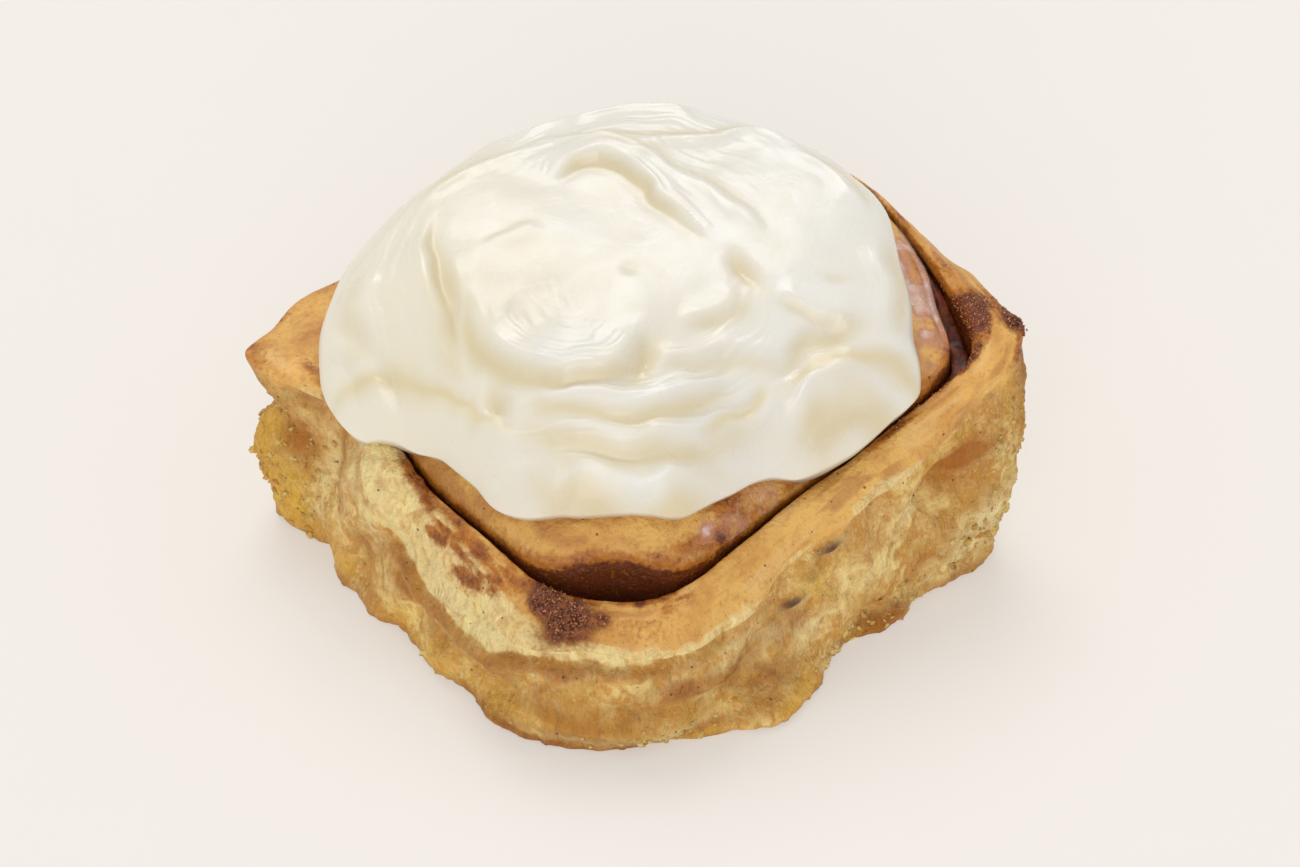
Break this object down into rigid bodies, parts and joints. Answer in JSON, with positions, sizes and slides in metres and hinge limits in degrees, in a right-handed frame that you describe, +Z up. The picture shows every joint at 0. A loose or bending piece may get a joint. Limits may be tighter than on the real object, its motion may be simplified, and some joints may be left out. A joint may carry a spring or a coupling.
{
  "type": "frosted cinnamon roll",
  "caption": "Squarish pan-baked cinnamon roll: a coiled strip of soft dough with a cinnamon filling between its turns and a thick swirl of cream frosting on top.",
  "frame": {"origin": "centre of the bounding box on the plane that the roll rests on", "axes": "+Z up; -Y towards the low front corner that the frosting leaves bare; +X towards the tall right corner"},
  "size_m": [0.1174, 0.1108, 0.0583],
  "materials": {
    "baked_dough": "golden baked top, torn pale crumb sides, matte",
    "cinnamon_filling": "dark brown sticky sugar and cinnamon, glossy where it pools",
    "cream_frosting": "soft off-white cream, satin, with spatula swirls"
  },
  "bodies": {
    "root": {"dough": "baked_dough", "filling": "cinnamon_filling", "frosting": "cream_frosting"}
  },
  "joints": []
}
